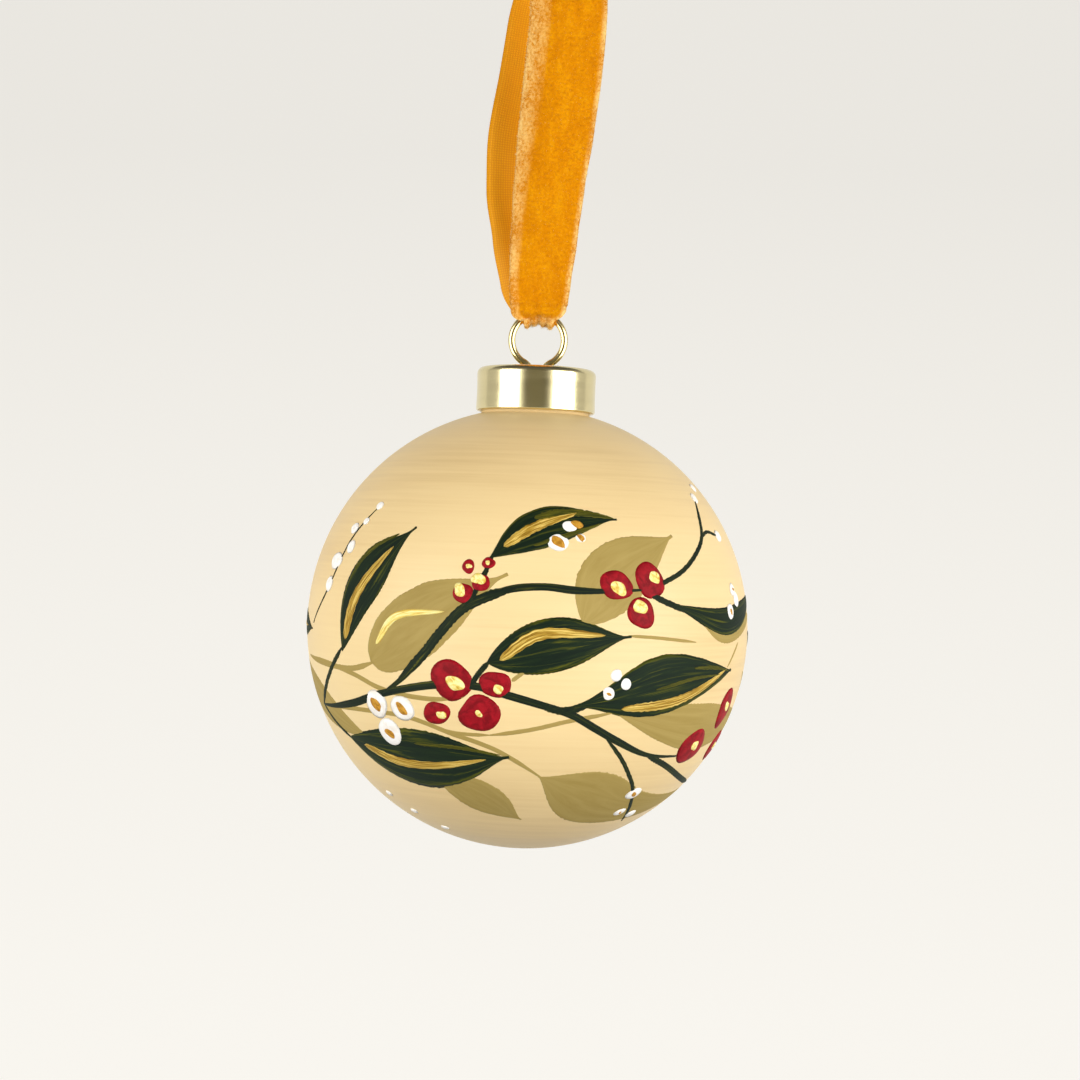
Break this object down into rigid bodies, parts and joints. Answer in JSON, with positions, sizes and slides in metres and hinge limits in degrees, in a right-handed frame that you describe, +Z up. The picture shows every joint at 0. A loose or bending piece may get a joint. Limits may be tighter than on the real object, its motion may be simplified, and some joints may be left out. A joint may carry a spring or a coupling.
{
  "type": "glass ball ornament",
  "caption": "Hand-painted blown glass ball with a brass cap and sprung wire hanger, hung from a loop of velvet ribbon.",
  "frame": {"origin": "hang point: the inside top of the ribbon loop, under its knot, where a twig or a hook passes through", "axes": "+Z up; the wire loop lies in the XZ plane, so the front of the ornament faces -Y"},
  "size_m": [0.08, 0.08, 0.2003],
  "materials": {
    "painted_glass": "blown glass under an opaque matte cream lacquer, hand painted",
    "cap_brass": "polished pale gold",
    "hanger_brass": "bright drawn wire",
    "velvet": "cut-pile velvet"
  },
  "bodies": {
    "ribbon": {"ribbon_loop": "velvet", "ribbon_knot": "velvet", "ribbon_tail_front": "velvet", "ribbon_tail_back": "velvet"},
    "cap": {"cap_shell": "cap_brass", "hanger_loop": "hanger_brass"},
    "leg_left": {"spring_leg_left": "hanger_brass"},
    "leg_right": {"spring_leg_right": "hanger_brass"},
    "ball": {"glass_ball": "painted_glass"}
  },
  "joints": [
    {"name": "swing", "type": "hinge", "parent": "ribbon", "child": "cap", "pos_m": [0, 0, -0.0712], "axis": [1, 0, 0], "range_deg": [-60, 60]},
    {"name": "pull_off", "type": "slide", "parent": "cap", "child": "ball", "axis": [0, 0, -1], "range_m": [0, 0.026]},
    {"name": "leg_left_squeeze", "type": "hinge", "parent": "cap", "child": "leg_left", "pos_m": [-0.0014, 0, -0.0834], "axis": [0, -1, 0], "range_deg": [0, 22.5]},
    {"name": "leg_right_squeeze", "type": "hinge", "parent": "cap", "child": "leg_right", "pos_m": [0.0014, 0, -0.0834], "axis": [0, 1, 0], "range_deg": [0, 22.5]}
  ],
  "couplings": [
    {"joint": "leg_left_squeeze", "follows": "pull_off", "rad_per_m": 15},
    {"joint": "leg_right_squeeze", "follows": "pull_off", "rad_per_m": 15}
  ]
}
